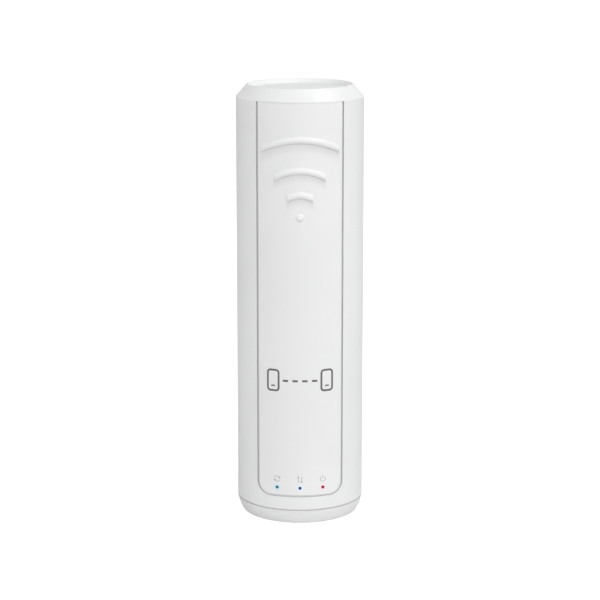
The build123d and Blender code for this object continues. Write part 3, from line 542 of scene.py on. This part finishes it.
def mark(name, strips, material):
    """One printed mark from (path, line width, closed) strips."""
    verts, faces = [], []
    for path, width, closed in strips:
        ribbon(verts, faces, path, width, closed)
    mesh = bpy.data.meshes.new(name)
    mesh.from_pydata(verts, [], faces)
    mesh.validate()
    mesh.update()
    obj = add_object(name, mesh)
    mesh.materials.append(material)
    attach(obj, "housing")


LABEL_INK = ink("label_ink", (0.50, 0.505, 0.51))
MARK_INK = ink("mark_ink", (0.135, 0.137, 0.14))
LABEL_Z = 28.0
LABEL_S = PANEL_RADIUS * math.asin(INDICATOR_X / PANEL_RADIUS)      # above the outer indicators
LABEL_LINE = 0.36


def label(name, paths):
    mark(name, [(path, LABEL_LINE, False) for path in paths], LABEL_INK)


def pairing_label():
    """Left: two turning arrows."""
    s, z = -LABEL_S, LABEL_Z
    arcs = [arc(s, z, 1.65, turn + 25, turn + 160) for turn in (0, 180)]
    heads = [arrow_head((s + side * 1.62, z + side * 0.35), (side * 0.35, -side), size=1.05)
             for side in (1, -1)]
    label("mark_pairing", arcs + heads)


def traffic_label():
    """Middle: an arrow up on the left, an arrow down on the right."""
    paths = []
    for up in (1, -1):
        s = -0.95 * up
        paths.append([(s, LABEL_Z - 1.8 * up), (s, LABEL_Z + 1.7 * up)])
        paths.append(arrow_head((s, LABEL_Z + 1.9 * up), (0, up), size=1.15))
    label("mark_traffic", paths)


def power_label():
    """Right: an open ring with an upright stroke."""
    s, z = LABEL_S, LABEL_Z - 0.1
    label("mark_power", [arc(s, z, 1.6, 125, 415), [(s, z + 0.35), (s, z + 2.15)]])


def link_mark():
    """Middle of the panel: two upright units with a dashed line between them."""
    z = 88.5
    unit_s = 16.4
    foot_z = z - 3.3
    dash_pitch = 5.8
    strips = []
    for s in (-unit_s, unit_s):
        strips.append((rounded_box(s, z, width=7.0, height=12.4, corner=1.7), 1.15, True))
        strips.append(([(s - 1.2, foot_z), (s + 1.2, foot_z)], 0.85, False))
    for place in (-1.5, -0.5, 0.5, 1.5):
        s = place * dash_pitch
        strips.append(([(s - 1.6, z), (s + 1.6, z)], 1.25, False))
    mark("mark_link", strips, MARK_INK)


pairing_label()
traffic_label()
power_label()
link_mark()


# ------------------------------------------------------- floor, light, camera
FLOOR_HALF = 30.0
FLOOR_Z = -0.0001           # just under the base, so that the two never share a plane
FLOOR_GLOW = 0.62           # seen by camera rays only
FLOOR_CLEAR = 0.0012        # rays shorter than this pass through the paper

# name, place, target, size, watts
SOFTBOXES = (
    ("steep_right", (0.60, -0.25, 1.30), (0, 0, 0.20), 0.5, 4.3),
    ("right_front", (0.36, -1.55, 0.72), (0, 0, 0.15), 0.7, 2.45),
    ("rear_right", (0.45, 1.32, 1.15), (0, 0, 0.16), 0.9, 1.7),
)

CAMERA_PITCH = math.radians(11.95)      # looking down
CAMERA_DISTANCE = 1.2366
CAMERA_AIM_Z = 0.1302


def floor_paper():
    """Pale paper that is clear from underneath, so that the base can be seen and lit."""
    g = Surface("floor_paper")
    tone = g.remap(g.noise(scale=0.004, detail=2.0))
    g.set("Base Color", g.mix(tone, (0.71, 0.71, 0.71), (0.73, 0.73, 0.73)))
    g.set("Roughness", 0.9)
    g.set("Specular IOR Level", 0.1)
    # the camera sees the paper a little brighter than it lights the object
    ray = g.add("LightPath").outputs
    g.set("Emission Color", (1, 1, 1))
    g.set("Emission Strength", g.times(ray["Is Camera Ray"], FLOOR_GLOW))
    g.set("Normal", g.bump(g.noise(scale=0.8, rough=0.6), strength=0.05, depth=0.1))
    below = g.add("NewGeometry").outputs["Backfacing"]
    close = g.math("LESS_THAN", ray["Ray Length"], FLOOR_CLEAR)
    clear = g.add("BsdfTransparent").outputs[0]
    mixed = g.add("MixShader", {0: g.math("MAXIMUM", below, close),
                                1: g.bsdf.outputs[0], 2: clear})
    g.put(g.out.inputs[0], mixed.outputs[0])
    return g.mat


def floor():
    mesh = bpy.data.meshes.new("floor")
    corners = ((-1, -1), (1, -1), (1, 1), (-1, 1))
    mesh.from_pydata([(x * FLOOR_HALF, y * FLOOR_HALF, FLOOR_Z) for x, y in corners],
                     [], [(0, 1, 2, 3)])
    obj = add_object("floor", mesh)
    mesh.materials.append(floor_paper())


def world(low, high, direction):
    """White to the camera; its light rises from low to high towards direction."""
    studio = bpy.data.worlds.new("studio")
    scene.world = studio
    studio.use_nodes = True
    g = Graph(studio.node_tree)
    view = g.add("TexCoord").outputs["Generated"]
    toward = g.dot(view, Vector(direction).normalized())
    strength = g.remap(toward, span=(-1.0, 1.0), to=(low, high))
    # dimmer below the horizon, where only a view from underneath can see it
    under = g.remap(g.separate(view)[2], span=(-0.25, 0.0), to=(0.26, 1.0))
    light = g.add("Background", {"Strength": g.times(strength, under)})
    seen = g.add("Background", {"Strength": 1.0, "Color": (1, 1, 1)})
    camera_ray = g.add("LightPath").outputs["Is Camera Ray"]
    mixed = g.add("MixShader", {0: camera_ray, 1: light.outputs[0], 2: seen.outputs[0]})
    g.add("OutputWorld", {0: mixed.outputs[0]})


def softbox(name, place, target, size, watts):
    data = bpy.data.lights.new(name, "AREA")
    data.shape = "SQUARE"
    data.size = size
    data.energy = watts
    obj = add_object(name, data)
    obj.location = place
    aim = Vector(target) - Vector(place)
    obj.rotation_euler = aim.to_track_quat("-Z", "Y").to_euler()


def add_camera():
    data = bpy.data.cameras.new("camera")
    data.sensor_width = 36.0
    data.lens = 122.874
    data.shift_y = -0.002
    camera = add_object("camera", data)
    camera.location = (0, -CAMERA_DISTANCE * math.cos(CAMERA_PITCH),
                       CAMERA_AIM_Z + CAMERA_DISTANCE * math.sin(CAMERA_PITCH))
    camera.rotation_euler = (math.pi / 2 - CAMERA_PITCH, 0, 0)
    scene.camera = camera


floor()
world(low=0.315, high=2.79, direction=(0.0, -0.30, -0.954))
for box in SOFTBOXES:
    softbox(*box)
scene.view_settings.view_transform = "Standard"
scene.view_settings.look = "None"
add_camera()
